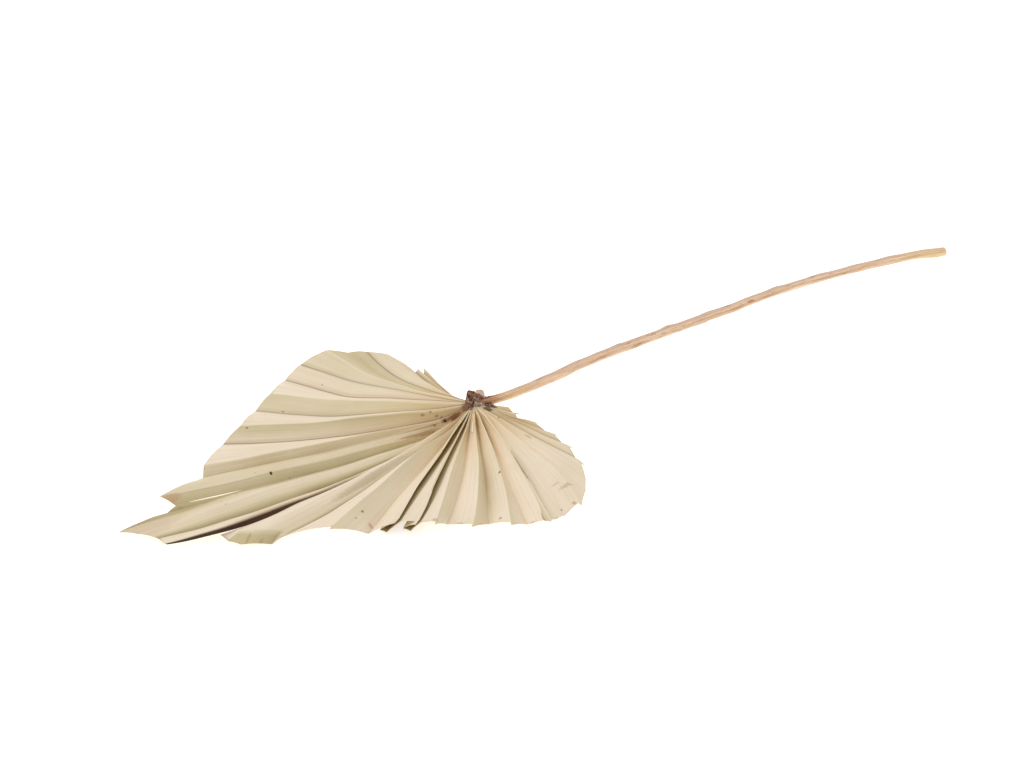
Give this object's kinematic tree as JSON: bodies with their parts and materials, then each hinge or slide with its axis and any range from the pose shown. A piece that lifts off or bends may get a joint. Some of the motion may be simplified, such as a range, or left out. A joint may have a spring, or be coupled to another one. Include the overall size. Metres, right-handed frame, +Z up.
{
  "type": "dried fan palm leaf",
  "caption": "Dried, pleated fan palm leaf trimmed to a lopsided spear shape, lying flat with its bare stalk attached.",
  "frame": {"origin": "on the surface the leaf lies on, under the middle of its bounding box", "axes": "+X from the blade's tip towards the stalk's cut end, +Z up, -Y the side of the larger tear and the rounder lobe"},
  "size_m": [0.5602, 0.216, 0.0234],
  "materials": {
    "dry_blade": "matte",
    "dry_stalk": "matte",
    "dry_hastula": "matte"
  },
  "bodies": {
    "root": {"blade": "dry_blade", "petiole": "dry_stalk", "hastula": "dry_hastula"}
  },
  "joints": []
}
